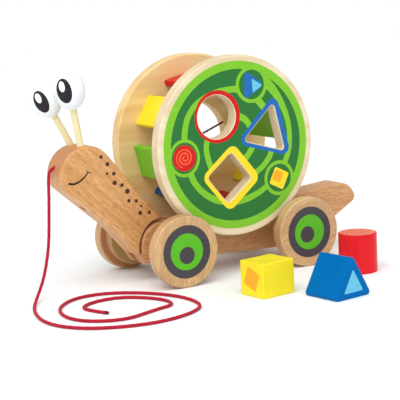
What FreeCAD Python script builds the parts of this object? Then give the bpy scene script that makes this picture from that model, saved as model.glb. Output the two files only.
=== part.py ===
"""Wooden pull-along snail: a jointed plank body on four wheels, a shape-sorter drum for a shell, a pull
cord and three sorting blocks.  The snail faces -X, +Z is up, millimetres.

Every dimension below is laid out about one working origin, on the floor under the middle of the shell.
At the end the whole set is moved so that the origin is the bottom centre of the box round the snail and
its blocks.
"""
import FreeCAD, Part
import math
import os
import Sketcher

from FreeCAD import Rotation, Vector

DIMENSIONS = {
    # wheels and axles
    "wheel_radius": 34.5,
    "wheel_thickness": 12.0,
    "wheel_outer_face": 63.5,
    "wheel_round": 2.0,
    "roller_radius": 28.0,
    "roller_thickness": 11.5,
    "roller_round": 1.2,
    "half_wheelbase": 70.0,
    "axle_radius": 4.0,
    "axle_end_gap": 4.5,
    "spacer_radius": 9.0,
    "glue_gap": 0.02,
    "running_gap": 0.06,
    # how far drills and cutters run past the wood they cut
    "drill_overrun": 10.0,
    "pin_overrun": 1.0,
    # body plank
    "body_width": 32.0,
    "body_round": 3.0,
    "fork_slot": 12.8,
    "fork_slot_radius": 16.8,
    "fork_slot_front": -104.0,
    "fork_slot_behind_axle": 13.0,
    "fork_slot_bottom": 10.0,
    "fork_slot_top": 62.0,
    "saddle_radius": 74.2,
    # head and neck
    "knuckle_radius": 29.5,
    "knuckle_x": -65.9,
    "knuckle_z": 32.8,
    "tongue_width": 12.0,
    "tongue_radius": 16.0,
    "cord_hole_radius": 2.1,
    "knot_hole_radius": 3.75,
    "knot_hole_depth": 25.0,
    # antennae and eyes
    "stalk_radius": 3.25,
    "stalk_socket": 12.0,
    "eye_half_length": 19.2,
    "eye_radius": 14.5,
    "eye_socket": 10.0,
    # shell
    "disc_radius": 87.0,
    "disc_thickness": 13.6,
    "disc_inner_face": 34.3,
    "disc_round": 2.0,
    "rim_gap": 0.3,
    "slat_width": 32.4,
    "slat_thickness": 6.5,
    "slat_outer_face": 67.6,
    "slat_round": 1.4,
    "slat_first_angle": 103.5,
    "slat_count": 8,
    "pin_radius": 2.5,
    "pin_in_slat": 10.0,
    "pin_in_disc": 9.0,
    "hand_hole_radius": 39.0,
    "elastic_radius": 1.0,
    "elastic_angle": 21.0,
    "elastic_anchor": 6.0,
    "elastic_depth": 3.0,
    # sorting holes in the left disc: centre from the shell's axis
    "round_hole_radius": 20.8,
    "round_hole_x": -22.0,
    "round_hole_z": 29.6,
    "square_hole_side": 35.2,
    "square_hole_corner": 4.0,
    "square_hole_x": -10.0,
    "square_hole_z": -30.2,
    "square_hole_turn": -6.3,
    "triangle_hole_side": 48.8,
    "triangle_hole_corner": 2.6,
    "triangle_hole_x": 34.7,
    "triangle_hole_z": 10.6,
    "triangle_hole_turn": 73.5,
    "hole_round": 0.8,
    # loose sorting blocks
    "square_block_side": 32.0,
    "square_block_length": 37.5,
    "triangle_block_side": 46.0,
    "triangle_block_corner": 3.0,
    "triangle_block_length": 40.4,
    "round_block_radius": 18.6,
    "round_block_height": 38.2,
    "block_round": 1.2,
    # pull cord
    "cord_radius": 1.5,
    "cord_floor_gap": 0.1,
    "cord_inside_mouth": 3.0,
    "knot_radius": 3.2,
}

# Outline corners in the X-Z plane: x, z, corner radius.
BODY_OUTLINE = [
    (-96.9, 27.6, 0.0),
    (-92.5, 28.15, 0.0),
    (-92.5, 57.0, 22.5),
    (0.0, 57.0, 0.0),
    (154.0, 70.2, 18.0),
    (167.0, 52.1, 7.0),
    (95.6, 11.5, 25.0),
    (-91.0, 18.0, 2.5),
]
HEAD_OUTLINE = [
    (-66.0, 58.4, 0.0),
    (-88.0, 83.0, 110.0),
    (-172.6, 190.9, 28.0),
    (-172.6, 102.2, 16.0),
    (-121.0, 56.4, 110.0),
    (-97.1, 27.95, 0.0),
    (-90.0, 28.85, 0.0),
]
# Edges that stay sharp: the fork's lip under the neck, and the neck's hollow over the knuckle.
FORK_LIP_X = -92.0
FORK_LIP_Z = (27.0, 32.0)
KNUCKLE_HOLLOW_X = -96.0
KNUCKLE_HOLLOW_Z = 57.0
# The tongue's web, from the axle out into the neck.
TONGUE_WEB = [(-70.0, 34.5), (-99.4, 36.8), (-91.2, 55.7), (-73.4, 63.6)]

# Where each stalk leaves the head and where the eye on it is centred.
ANTENNAE = {
    "left": (Vector(-147.5, -10.0, 136.0), Vector(-158.5, -17.0, 191.2)),
    "right": (Vector(-147.5, 10.0, 136.0), Vector(-168.5, 18.0, 181.7)),
}

CORD_MOUTH = Vector(-170.2, 0.0, 118.9)
KNOT_HOLE_MOUTH = Vector(-144.6, 0.0, 77.3)
KNOT_HOLE_INWARD = Vector(0.665, 0.0, 0.747)

# The pull cord as it lies: over the nose, down to the floor and round in an open spiral to its bare end.
CORD_DROP = [
    (-170.2, 0.0, 118.9),
    (-173.4, 0.0, 118.4),
    (-175.9, 0.0, 115.9),
    (-177.2, 0.0, 112.3),
    (-177.8, 0.0, 105.8),
    (-178.3, -0.3, 93.5),
    (-180.0, -0.7, 70.0),
    (-182.0, -1.4, 49.0),
]
CORD_FLOOR = [
    (-186.6, -4.0, 31.5),
    (-194.0, -10.5, 17.0),
    (-203.5, -19.5, 7.0),
    (-212.0, -31.0, 2.2),
    (-220.0, -47.0, 1.6),
    (-227.0, -68.0, 1.6),
    (-231.5, -94.0, 1.6),
    (-227.0, -119.5, 1.6),
    (-210.5, -141.5, 1.6),
    (-186.0, -154.5, 1.6),
    (-160.0, -160.6, 1.6),
    (-135.5, -158.0, 1.6),
    (-114.0, -149.5, 1.6),
    (-98.5, -136.0, 1.6),
    (-93.5, -113.5, 1.6),
    (-97.0, -90.0, 1.6),
    (-109.0, -66.0, 1.6),
    (-127.5, -45.5, 1.6),
    (-148.0, -34.5, 1.6),
    (-169.5, -34.0, 1.6),
    (-187.0, -43.5, 1.6),
    (-202.0, -61.0, 1.6),
    (-209.0, -82.0, 1.6),
    (-209.0, -101.5, 1.6),
    (-201.5, -118.0, 1.6),
    (-185.0, -130.0, 1.6),
    (-167.0, -133.0, 1.6),
    (-148.0, -125.5, 1.6),
    (-130.5, -119.5, 1.6),
    (-117.0, -116.0, 1.6),
    (-112.5, -104.0, 1.6),
    (-114.5, -91.0, 1.6),
    (-123.0, -75.0, 1.6),
    (-139.0, -59.5, 1.6),
    (-158.0, -57.5, 1.6),
    (-174.0, -62.5, 1.6),
    (-184.0, -71.5, 1.6),
    (-183.5, -85.5, 1.6),
    (-174.5, -104.0, 1.6),
]

# Where the loose blocks stand: the middle of the base, and the turn about Z in degrees.
SQUARE_BLOCK_AT = (Vector(-25.6, -131.0, 0.0), 7.7)
TRIANGLE_BLOCK_AT = (Vector(18.7, -177.1, 0.0), 8.6)
ROUND_BLOCK_AT = (Vector(92.2, -111.8, 0.0), 0.0)

SLAT_COLOURS = ["red", "yellow", "green", "blue"]
Y_AXIS = Vector(0, 1, 0)
Z_AXIS = Vector(0, 0, 1)

doc = FreeCAD.newDocument("pull_along_snail")
sheet = doc.addObject("Spreadsheet::Sheet", "Sheet")
parts = []


def fill_sheet():
    for row, (name, value) in enumerate(DIMENSIONS.items(), start=1):
        sheet.set("A%d" % row, name)
        sheet.set("B%d" % row, str(value))
        sheet.setAlias("B%d" % row, name)
    doc.recompute()


def dim(name):
    return float(sheet.get(name))


def bind(obj, prop, expression):
    """Tie a property to the sheet; names of dimensions are written plainly in the expression."""
    words = []
    for word in expression.split(" "):
        words.append("Sheet." + word if word in DIMENSIONS else word)
    obj.setExpression(prop, " ".join(words))


# ---------------------------------------------------------------- sketch and body helpers

def new_body(label):
    body = doc.addObject("PartDesign::Body", label)
    body.Label = label
    return body


def new_sketch(body, role="XZ_Plane"):
    sketch = body.newObject("Sketcher::SketchObject", body.Label + "_sketch")
    plane = [item for item in body.Origin.OriginFeatures if item.Role == role][0]
    sketch.AttachmentSupport = [(plane, "")]
    sketch.MapMode = "FlatFace"
    return sketch


def add_circle(sketch, radius, x=None, y=None):
    """A circle whose radius, and centre if it is off the origin, are dimensions of the sheet."""
    centre = Vector(dim(x) if x else 0, dim(y) if y else 0, 0)
    size = dim(radius.split(" ")[0])
    index = sketch.addGeometry(Part.Circle(centre, Z_AXIS, size), False)
    rules = [("Radius", (index, size), radius)]
    if x:
        rules.append(("DistanceX", (-1, 1, index, 3, centre.x), x))
        rules.append(("DistanceY", (-1, 1, index, 3, centre.y), y))
    else:
        sketch.addConstraint(Sketcher.Constraint("Coincident", index, 3, -1, 1))
    for kind, arguments, expression in rules:
        rule = sketch.addConstraint(Sketcher.Constraint(kind, *arguments))
        bind(sketch, "Constraints[%d]" % rule, expression)


def rounded_edges(corners):
    """Lines and tangent arcs through a closed list of corners (x, y, radius)."""
    points = [Vector(x, y, 0) for x, y, radius in corners]
    trims = []
    for index, (x, y, radius) in enumerate(corners):
        here = points[index]
        back = (points[index - 1] - here).normalize()
        ahead = (points[(index + 1) % len(points)] - here).normalize()
        half = back.getAngle(ahead) / 2
        reach = radius / math.tan(half)
        start = here + back * reach
        end = here + ahead * reach
        middle = None
        if radius > 0:
            inward = (back + ahead).normalize()
            middle = here + inward * (radius / math.sin(half) - radius)
        trims.append((start, middle, end))
    edges = []
    for index, (start, middle, end) in enumerate(trims):
        if middle is not None:
            edges.append(Part.Arc(start, middle, end))
        following = trims[(index + 1) % len(trims)][0]
        if (following - end).Length > 1e-6:
            edges.append(Part.LineSegment(end, following))
    return edges


def add_outline(sketch, corners):
    edges = rounded_edges(corners)
    for edge in edges:
        sketch.addGeometry(edge, False)
    sketch.detectMissingPointOnPointConstraints(1e-4)
    sketch.makeMissingPointOnPointCoincident()


def add_pad(body, sketch, length, symmetric=True, backwards=False):
    pad = body.newObject("PartDesign::Pad", body.Label + "_pad")
    pad.Profile = sketch
    bind(pad, "Length", length)
    if symmetric:
        pad.SideType = "Symmetric"
    pad.Reversed = backwards
    doc.recompute()
    return pad


def add_pocket(body, sketch, length, symmetric=True, backwards=False):
    """A pocket that is proved to have cut something."""
    before = body.Shape.Volume
    pocket = body.newObject("PartDesign::Pocket", body.Label + "_pocket")
    pocket.Profile = sketch
    bind(pocket, "Length", length)
    if symmetric:
        pocket.SideType = "Symmetric"
    pocket.Reversed = backwards
    doc.recompute()
    if body.Shape.Volume > before - 1e-3:
        raise RuntimeError(body.Label + ": a pocket cut nothing")
    return pocket


def add_fillet(body, radius, wanted):
    """Round the edges for which wanted(edge) is true."""
    base = body.Tip
    names = []
    for index, edge in enumerate(base.Shape.Edges, start=1):
        if wanted(edge):
            names.append("Edge%d" % index)
    if not names:
        raise RuntimeError(body.Label + ": no edge to round")
    fillet = body.newObject("PartDesign::Fillet", body.Label + "_fillet")
    fillet.Base = (base, names)
    bind(fillet, "Radius", radius)
    doc.recompute()
    return fillet


def on_face(edge, axis, value):
    """True when the whole edge lies in the plane where that coordinate has that value."""
    first, last = edge.ParameterRange
    samples = [edge.valueAt(first + (last - first) * step / 4) for step in range(5)]
    return all(abs(getattr(point, axis) - value) < 1e-4 for point in samples)


def keep(obj, label):
    obj.Label = label
    parts.append(obj)
    return obj


def move(obj, place, rotation=None):
    obj.Placement = FreeCAD.Placement(place, rotation or Rotation())
    return obj


def cylinder(label, radius, height, place, direction):
    """A cylinder from place along direction."""
    solid = doc.addObject("Part::Cylinder", label)
    bind(solid, "Radius", radius)
    bind(solid, "Height", height)
    return move(solid, place, Rotation(Z_AXIS, direction))


def cut(label, base, tools):
    if len(tools) == 1:
        tool = tools[0]
    else:
        tool = doc.addObject("Part::MultiFuse", label + "_tools")
        tool.Shapes = tools
    result = doc.addObject("Part::Cut", label)
    result.Base = base
    result.Tool = tool
    doc.recompute()
    if result.Shape.Volume > base.Shape.Volume - 1e-3:
        raise RuntimeError(label + ": a cut took nothing away")
    return result


# ---------------------------------------------------------------- wheels, rollers, axles

def turned_disc(label, radius, thickness, edge_round, bore, bore_depth=None, bore_backwards=False):
    """A disc on the Y axis with rounded edges and a bore, blind when a depth is given."""
    body = new_body(label)
    sketch = new_sketch(body)
    add_circle(sketch, radius)
    add_pad(body, sketch, thickness)
    half = dim(thickness) / 2
    add_fillet(body, edge_round, lambda edge: on_face(edge, "y", half) or on_face(edge, "y", -half))
    hole = new_sketch(body)
    add_circle(hole, bore)
    if bore_depth:
        # the sketch stands mid-thickness, so a one-way pocket leaves the outer half of the disc whole
        add_pocket(body, hole, bore_depth, symmetric=False, backwards=bore_backwards)
    else:
        add_pocket(body, hole, thickness + " * 1.2")
    return body


def axle_parts(end, x):
    """One axle with its two wheels, two drive rollers and two spacer sleeves."""
    height = dim("wheel_radius")
    wheel_mid = dim("wheel_outer_face") - dim("wheel_thickness") / 2
    roller_mid = dim("wheel_outer_face") - dim("wheel_thickness") - dim("roller_thickness") / 2
    reach = "wheel_outer_face - axle_end_gap"
    axle = cylinder(end + "_axle", "axle_radius", "2 * ( " + reach + " )",
                    Vector(x, -(dim("wheel_outer_face") - dim("axle_end_gap")), height), Y_AXIS)
    keep(axle, end + "_axle")
    for side, sign in (("left", -1), ("right", 1)):
        wheel = turned_disc("%s_wheel_%s" % (end, side), "wheel_radius", "wheel_thickness", "wheel_round",
                            "axle_radius + glue_gap")
        keep(wheel, wheel.Label)
        move(wheel, Vector(x, sign * wheel_mid, height))
        roller = turned_disc("%s_roller_%s" % (end, side), "roller_radius", "roller_thickness",
                             "roller_round", "axle_radius + glue_gap")
        keep(roller, roller.Label)
        move(roller, Vector(x, sign * roller_mid, height))
        spacer = spacer_sleeve("%s_spacer_%s" % (end, side))
        inner = dim("body_width") / 2 + dim("rim_gap")
        outer = roller_mid - dim("roller_thickness") / 2
        move(spacer, Vector(x, sign * (inner + outer) / 2, height))
        keep(spacer, spacer.Label)


def spacer_sleeve(label):
    """A plain wooden sleeve that keeps the wheels off the body plank."""
    body = new_body(label)
    sketch = new_sketch(body)
    add_circle(sketch, "spacer_radius")
    length = "wheel_outer_face - wheel_thickness - roller_thickness - body_width / 2 - rim_gap"
    add_pad(body, sketch, length)
    hole = new_sketch(body)
    add_circle(hole, "axle_radius + glue_gap")
    add_pocket(body, hole, "wheel_outer_face")
    return body


def close_wheels():
    """Plug the outer end of each wheel's bore, so that the printed face is unbroken."""
    for wheel in [item for item in parts if "_wheel_" in item.Label]:
        sign = -1 if wheel.Label.endswith("left") else 1
        sketch = new_sketch(wheel)
        add_circle(sketch, "axle_radius + glue_gap")
        sketch.AttachmentOffset = FreeCAD.Placement(
            Vector(0, 0, -sign * dim("wheel_thickness") / 2), Rotation())
        add_pad(wheel, sketch, "axle_end_gap", symmetric=False, backwards=(sign < 0))


# ---------------------------------------------------------------- body plank

def body_plank():
    body = new_body("body_plank")
    sketch = new_sketch(body)
    add_outline(sketch, BODY_OUTLINE)
    add_pad(body, sketch, "body_width")
    half = dim("body_width") / 2

    def outer_edge(edge):
        middle = edge.CenterOfMass
        if not (on_face(edge, "y", half) or on_face(edge, "y", -half)):
            return False
        return not (middle.x < FORK_LIP_X and FORK_LIP_Z[0] < middle.z < FORK_LIP_Z[1])

    add_fillet(body, "body_round", outer_edge)
    saddle = new_sketch(body)
    shell_height = saddle_height()
    index = saddle.addGeometry(Part.Circle(Vector(0, shell_height, 0), Z_AXIS, dim("saddle_radius")), False)
    rule = saddle.addConstraint(Sketcher.Constraint("Radius", index, dim("saddle_radius")))
    bind(saddle, "Constraints[%d]" % rule, "saddle_radius")
    add_pocket(body, saddle, "body_width * 1.2")
    slot = new_sketch(body)
    axle_x = -dim("half_wheelbase")
    axle_z = dim("wheel_radius")
    front = dim("fork_slot_front")
    back = axle_x + dim("fork_slot_behind_axle")
    low = dim("fork_slot_bottom")
    top = dim("fork_slot_top")
    add_outline(slot, [(front, low, 0), (axle_x, low, 0), (axle_x, axle_z, 0), (back, axle_z, 0),
                       (back, top, 0), (front, top, 0)])
    add_pocket(body, slot, "fork_slot")
    boss = new_sketch(body)
    boss.addGeometry(Part.Circle(Vector(axle_x, axle_z, 0), Z_AXIS, dim("fork_slot_radius")), False)
    add_pocket(body, boss, "fork_slot")
    bores = new_sketch(body)
    for x in (axle_x, -axle_x):
        radius = dim("axle_radius") + dim("running_gap")
        index = bores.addGeometry(Part.Circle(Vector(x, axle_z, 0), Z_AXIS, radius), False)
        rule = bores.addConstraint(Sketcher.Constraint("Radius", index, radius))
        bind(bores, "Constraints[%d]" % rule, "axle_radius + running_gap")
    add_pocket(body, bores, "body_width * 1.2")
    keep(body, "body_plank")


def saddle_height():
    """Height of the shell's axis: its discs rest on the four rollers."""
    reach = dim("disc_radius") + dim("roller_radius") + dim("rim_gap")
    return dim("wheel_radius") + math.sqrt(reach ** 2 - dim("half_wheelbase") ** 2)


# ---------------------------------------------------------------- head, antennae, eyes

def head_block():
    body = new_body("head_neck_wood")
    sketch = new_sketch(body)
    add_outline(sketch, HEAD_OUTLINE)
    add_pad(body, sketch, "body_width")
    half = dim("body_width") / 2

    def outer_edge(edge):
        middle = edge.CenterOfMass
        if not (on_face(edge, "y", half) or on_face(edge, "y", -half)):
            return False
        return not (middle.x > KNUCKLE_HOLLOW_X and middle.z < KNUCKLE_HOLLOW_Z)

    add_fillet(body, "body_round", outer_edge)
    knuckle = new_sketch(body)
    add_circle(knuckle, "knuckle_radius", "knuckle_x", "knuckle_z")
    add_pocket(body, knuckle, "body_width * 1.2")
    axle_x = -dim("half_wheelbase")
    axle_z = dim("wheel_radius")
    web = new_sketch(body)
    add_outline(web, [(x, z, 0) for x, z in TONGUE_WEB])
    add_pad(body, web, "tongue_width")
    boss = new_sketch(body)
    index = boss.addGeometry(Part.Circle(Vector(axle_x, axle_z, 0), Z_AXIS, dim("tongue_radius")), False)
    rule = boss.addConstraint(Sketcher.Constraint("Radius", index, dim("tongue_radius")))
    bind(boss, "Constraints[%d]" % rule, "tongue_radius")
    add_pad(body, boss, "tongue_width")
    bore = new_sketch(body)
    radius = dim("axle_radius") + dim("running_gap")
    index = bore.addGeometry(Part.Circle(Vector(axle_x, axle_z, 0), Z_AXIS, radius), False)
    rule = bore.addConstraint(Sketcher.Constraint("Radius", index, radius))
    bind(bore, "Constraints[%d]" % rule, "axle_radius + running_gap")
    add_pocket(body, bore, "body_width")
    overrun = dim("drill_overrun")
    tools = [
        cylinder("knot_hole", "knot_hole_radius", "knot_hole_depth + drill_overrun",
                 KNOT_HOLE_MOUTH - KNOT_HOLE_INWARD * overrun, KNOT_HOLE_INWARD),
        cylinder("cord_hole", "cord_hole_radius",
                 "%.3f + drill_overrun" % (knot_centre() - CORD_MOUTH).Length,
                 CORD_MOUTH - cord_channel() * overrun, cord_channel()),
    ]
    for side, (base, eye) in ANTENNAE.items():
        lean = (eye - base).normalize()
        tools.append(cylinder("stalk_hole_" + side, "stalk_radius + glue_gap",
                              "stalk_socket + drill_overrun",
                              base - lean * dim("stalk_socket"), lean))
    keep(cut("head_neck", body, tools), "head_neck")


def knot_centre():
    return KNOT_HOLE_MOUTH + KNOT_HOLE_INWARD * (dim("knot_hole_depth") - dim("knot_radius") - dim("rim_gap"))


def cord_channel():
    """Direction of the drilled channel, from the nose to the knot."""
    return (knot_centre() - CORD_MOUTH).normalize()


def antenna(side):
    base, eye = ANTENNAE[side]
    lean = (eye - base).normalize()
    height = "%.3f + eye_socket + stalk_socket - eye_half_length" % (eye - base).Length
    foot = base - lean * dim("stalk_socket")
    keep(cylinder("antenna_" + side, "stalk_radius", height, foot, lean), "antenna_" + side)
    ball = new_body("eye_" + side)
    sketch = new_sketch(ball)
    long_half = dim("eye_half_length")
    ellipse = Part.Ellipse(Vector(0, 0, 0), long_half, dim("eye_radius"))
    ellipse.rotate(FreeCAD.Placement(Vector(), Rotation(Z_AXIS, 90)))
    sketch.addGeometry(Part.ArcOfEllipse(ellipse, math.pi, 2 * math.pi), False)
    sketch.addGeometry(Part.LineSegment(Vector(0, -long_half, 0), Vector(0, long_half, 0)), False)
    turned = ball.newObject("PartDesign::Revolution", "eye_turned_" + side)
    turned.Profile = sketch
    turned.ReferenceAxis = (sketch, ["V_Axis"])
    turned.Angle = 360
    doc.recompute()
    socket = new_sketch(ball, "XY_Plane")
    add_circle(socket, "stalk_radius + glue_gap")
    socket.AttachmentOffset = FreeCAD.Placement(Vector(0, 0, -long_half + dim("eye_socket")), Rotation())
    add_pocket(ball, socket, "eye_half_length", symmetric=False)
    move(ball, eye, Rotation(Z_AXIS, lean))
    keep(ball, "eye_" + side)


# ---------------------------------------------------------------- shell drum

def shell_disc(side):
    sign = -1 if side == "left" else 1
    body = new_body("shell_disc_%s_wood" % side)
    sketch = new_sketch(body)
    add_circle(sketch, "disc_radius")
    add_pad(body, sketch, "disc_thickness")
    half = dim("disc_thickness") / 2
    faces = lambda edge: on_face(edge, "y", half) or on_face(edge, "y", -half)
    add_fillet(body, "disc_round", faces)
    holes = new_sketch(body)
    if side == "left":
        add_circle(holes, "round_hole_radius", "round_hole_x", "round_hole_z")
        add_pocket(body, holes, "disc_thickness * 1.2")
        holes = new_sketch(body)
        add_outline(holes, regular_corners(4, dim("square_hole_side"), dim("square_hole_corner"),
                                           dim("square_hole_turn"), dim("square_hole_x"),
                                           dim("square_hole_z")))
        add_pocket(body, holes, "disc_thickness * 1.2")
        holes = new_sketch(body)
        add_outline(holes, regular_corners(3, dim("triangle_hole_side"), dim("triangle_hole_corner"),
                                           dim("triangle_hole_turn"), dim("triangle_hole_x"),
                                           dim("triangle_hole_z")))
        add_pocket(body, holes, "disc_thickness * 1.2")
    else:
        add_circle(holes, "hand_hole_radius")
        add_pocket(body, holes, "disc_thickness * 1.2")
    rim = dim("disc_radius") - dim("disc_round") - 1

    def hole_edge(edge):
        points = [edge.valueAt(edge.FirstParameter), edge.valueAt(edge.LastParameter)]
        return faces(edge) and all(math.hypot(point.x, point.z) < rim for point in points)

    add_fillet(body, "hole_round", hole_edge)
    middle = sign * (dim("disc_inner_face") + half)
    move(body, Vector(0, middle, saddle_height()))
    tools = []
    mouth = sign * (dim("disc_inner_face") - dim("pin_overrun"))
    for angle in slat_angles():
        place = slat_centre(angle) + Vector(0, mouth, 0)
        tools.append(cylinder("pin_hole", "pin_radius + glue_gap", "pin_in_disc + pin_overrun",
                              place, Vector(0, sign, 0)))
    if side == "right":
        tools.append(elastic("elastic_hole", "elastic_radius + glue_gap"))
    keep(cut("shell_disc_" + side, body, tools), "shell_disc_" + side)


def regular_corners(count, side, corner, turn, x, y):
    """Corners of a regular polygon with rounded corners, turned anticlockwise in degrees."""
    reach = side / 2 / math.sin(math.pi / count)
    corners = []
    for index in range(count):
        angle = math.radians(turn + 360 * index / count)
        corners.append((x + reach * math.cos(angle), y + reach * math.sin(angle), corner))
    return corners


def slat_angles():
    count = int(dim("slat_count"))
    return [dim("slat_first_angle") + 360 * index / count for index in range(count)]


def slat_centre(angle):
    reach = dim("slat_outer_face") - dim("slat_thickness") / 2
    turn = math.radians(angle)
    return Vector(reach * math.cos(turn), 0, saddle_height() + reach * math.sin(turn))


def slat(index, angle):
    """A flat painted board between the discs, with a dowel hole in each end."""
    colour = SLAT_COLOURS[index % len(SLAT_COLOURS)]
    label = "slat_%d_%s" % (index + 1, colour)
    body = new_body(label + "_wood")
    sketch = new_sketch(body)
    wide = dim("slat_width") / 2
    thick = dim("slat_thickness") / 2
    add_outline(sketch, [(-wide, -thick, 0), (wide, -thick, 0), (wide, thick, 0), (-wide, thick, 0)])
    add_pad(body, sketch, "disc_inner_face * 2")
    add_fillet(body, "slat_round", lambda edge: abs(edge.tangentAt(edge.FirstParameter).y) > 0.9)
    place = slat_centre(angle)
    # a turn about +Y takes +X towards -Z, so the board's width goes round the drum at angle + 90
    move(body, place, Rotation(Y_AXIS, 90 - angle))
    tools = []
    for sign in (-1, 1):
        mouth = place + Vector(0, sign * (dim("disc_inner_face") + dim("pin_overrun")), 0)
        tools.append(cylinder("slat_pin_hole", "pin_radius + glue_gap", "pin_in_slat + pin_overrun",
                              mouth, Vector(0, -sign, 0)))
    keep(cut(label, body, tools), label)


def slat_pins():
    pins = []
    for angle in slat_angles():
        for sign in (-1, 1):
            start = slat_centre(angle) + Vector(0, sign * (dim("disc_inner_face") - dim("pin_in_slat")), 0)
            pins.append(cylinder("pin", "pin_radius", "pin_in_slat + pin_in_disc - glue_gap",
                                 start, Vector(0, sign, 0)))
    group = doc.addObject("Part::Compound", "slat_pins")
    group.Links = pins
    keep(group, "slat_pins")


def elastic(label, radius):
    """The elastic runs straight across the hand hole, close to the drum's inside."""
    turn = math.radians(dim("elastic_angle"))
    along = Vector(math.cos(turn), 0, math.sin(turn))
    reach = dim("hand_hole_radius") + dim("elastic_anchor")
    middle = Vector(0, dim("disc_inner_face") + dim("elastic_depth"), saddle_height())
    return cylinder(label, radius, "2 * ( hand_hole_radius + elastic_anchor )", middle - along * reach, along)


# ---------------------------------------------------------------- loose blocks

def square_block():
    body = new_body("block_square")
    sketch = new_sketch(body, "XY_Plane")
    wide = dim("square_block_side") / 2
    along = dim("square_block_length") / 2
    add_outline(sketch, [(-along, -wide, 0), (along, -wide, 0), (along, wide, 0), (-along, wide, 0)])
    add_pad(body, sketch, "square_block_side", symmetric=False)
    add_fillet(body, "block_round", lambda edge: True)
    return body


def triangle_block():
    """A prism lying on one side, its length along Y before it is turned."""
    body = new_body("block_triangle")
    sketch = new_sketch(body)
    corner = dim("triangle_block_corner")
    side = dim("triangle_block_side")
    middle = side / 2 / math.sqrt(3)
    add_outline(sketch, regular_corners(3, side, corner, 90, 0, middle))
    add_pad(body, sketch, "triangle_block_length")
    half = dim("triangle_block_length") / 2
    add_fillet(body, "block_round", lambda edge: on_face(edge, "y", half) or on_face(edge, "y", -half))
    return body


def round_block():
    body = new_body("block_round")
    sketch = new_sketch(body, "XY_Plane")
    add_circle(sketch, "round_block_radius")
    add_pad(body, sketch, "round_block_height", symmetric=False)
    top = dim("round_block_height")
    add_fillet(body, "block_round", lambda edge: on_face(edge, "z", 0) or on_face(edge, "z", top))
    return body


def blocks():
    for maker, (place, turn) in ((square_block, SQUARE_BLOCK_AT), (triangle_block, TRIANGLE_BLOCK_AT),
                                 (round_block, ROUND_BLOCK_AT)):
        block = maker()
        move(block, place, Rotation(Z_AXIS, turn))
        keep(block, block.Label)


# ---------------------------------------------------------------- pull cord

def cord_path(points):
    """Straight runs joined by tangent arcs; returns the edges and each arc's radius."""
    edges = []
    radii = []
    cursor = points[0]
    for index in range(1, len(points) - 1):
        here = points[index]
        back = points[index - 1] - here
        ahead = points[index + 1] - here
        shorter = min(back.Length, ahead.Length)
        turn = math.pi - back.getAngle(ahead)
        radius = 0.45 * shorter / math.tan(turn / 2)
        radii.append(radius)
        start = here + back.normalize() * (0.45 * shorter)
        end = here + ahead.normalize() * (0.45 * shorter)
        inward = (start + end) * 0.5 - here
        rise = radius / math.cos(turn / 2) - radius
        middle = here + inward.normalize() * rise
        edges.append(Part.LineSegment(cursor, start).toShape())
        edges.append(Part.Arc(start, middle, end).toShape())
        cursor = end
    edges.append(Part.LineSegment(cursor, points[-1]).toShape())
    return edges, radii


def cord_tube(label, edges):
    wire = Part.Wire(edges)
    direction = edges[0].tangentAt(edges[0].FirstParameter)
    ring = Part.Wire([Part.Circle(edges[0].valueAt(edges[0].FirstParameter), direction,
                                  dim("cord_radius")).toShape()])
    tube = wire.makePipeShell([ring], True, False)
    section = math.pi * dim("cord_radius") ** 2
    print("%s: length %.1f mm, volume against section times length %.4f"
          % (label, wire.Length, tube.Volume / (section * wire.Length)))
    solid = doc.addObject("Part::Feature", label)
    solid.Shape = tube
    keep(solid, label)
    return wire.Length


def pull_cord():
    """The free cord is cut in two where it hangs clear, so that the head can lift its end."""
    floor_height = dim("cord_radius") + dim("cord_floor_gap")
    inward = cord_channel()
    start = CORD_MOUTH + inward * dim("cord_inside_mouth")
    drop = [start] + [Vector(*point) for point in CORD_DROP]
    lying = [Vector(x, y, max(z, floor_height)) for x, y, z in CORD_FLOOR]
    edges, radii = cord_path(drop + lying)
    print("cord arc radii, mm:", " ".join("%.1f" % radius for radius in radii))
    split = 2 * len(drop) - 1
    straight = edges[split - 1]
    middle = straight.valueAt((straight.FirstParameter + straight.LastParameter) / 2)
    top_half = Part.LineSegment(straight.valueAt(straight.FirstParameter), middle).toShape()
    low_half = Part.LineSegment(middle, straight.valueAt(straight.LastParameter)).toShape()
    upper = edges[:split - 1] + [top_half]
    lower = [low_half] + edges[split:]
    total = cord_tube("pull_cord_drop", upper) + cord_tube("pull_cord_floor", lower)
    height = "%.3f - knot_radius" % (knot_centre() - start).Length
    keep(cylinder("pull_cord_core", "cord_radius", height, start, inward), "pull_cord_core")
    knot = doc.addObject("Part::Sphere", "cord_knot")
    bind(knot, "Radius", "knot_radius")
    move(knot, knot_centre())
    keep(knot, "cord_knot")
    print("free cord length %.0f mm" % total)


# ---------------------------------------------------------------- assemble, check, write

def build():
    fill_sheet()
    body_plank()
    for end, x in (("front", -dim("half_wheelbase")), ("rear", dim("half_wheelbase"))):
        axle_parts(end, x)
    close_wheels()
    head_block()
    for side in ANTENNAE:
        antenna(side)
    for side in ("left", "right"):
        shell_disc(side)
    for index, angle in enumerate(slat_angles()):
        slat(index, angle)
    slat_pins()
    keep(elastic("elastic_cord", "elastic_radius"), "elastic_cord")
    blocks()
    pull_cord()
    doc.recompute()


def centre_on_floor():
    """Move every sub-part so that the origin is the bottom centre of the box round the object."""
    box = FreeCAD.BoundBox()
    for item in parts:
        if "cord" not in item.Label:
            box.add(item.Shape.optimalBoundingBox(False))
    shift = Vector(-(box.XMin + box.XMax) / 2, -(box.YMin + box.YMax) / 2, -box.ZMin)
    for item in parts:
        item.Placement = FreeCAD.Placement(shift, Rotation()).multiply(item.Placement)
    doc.recompute()
    print("moved by %.3f %.3f %.3f" % (shift.x, shift.y, shift.z))
    print("box %.1f x %.1f x %.1f mm" % (box.XLength, box.YLength, box.ZLength))
    print("shell axis height %.3f" % saddle_height())


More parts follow.
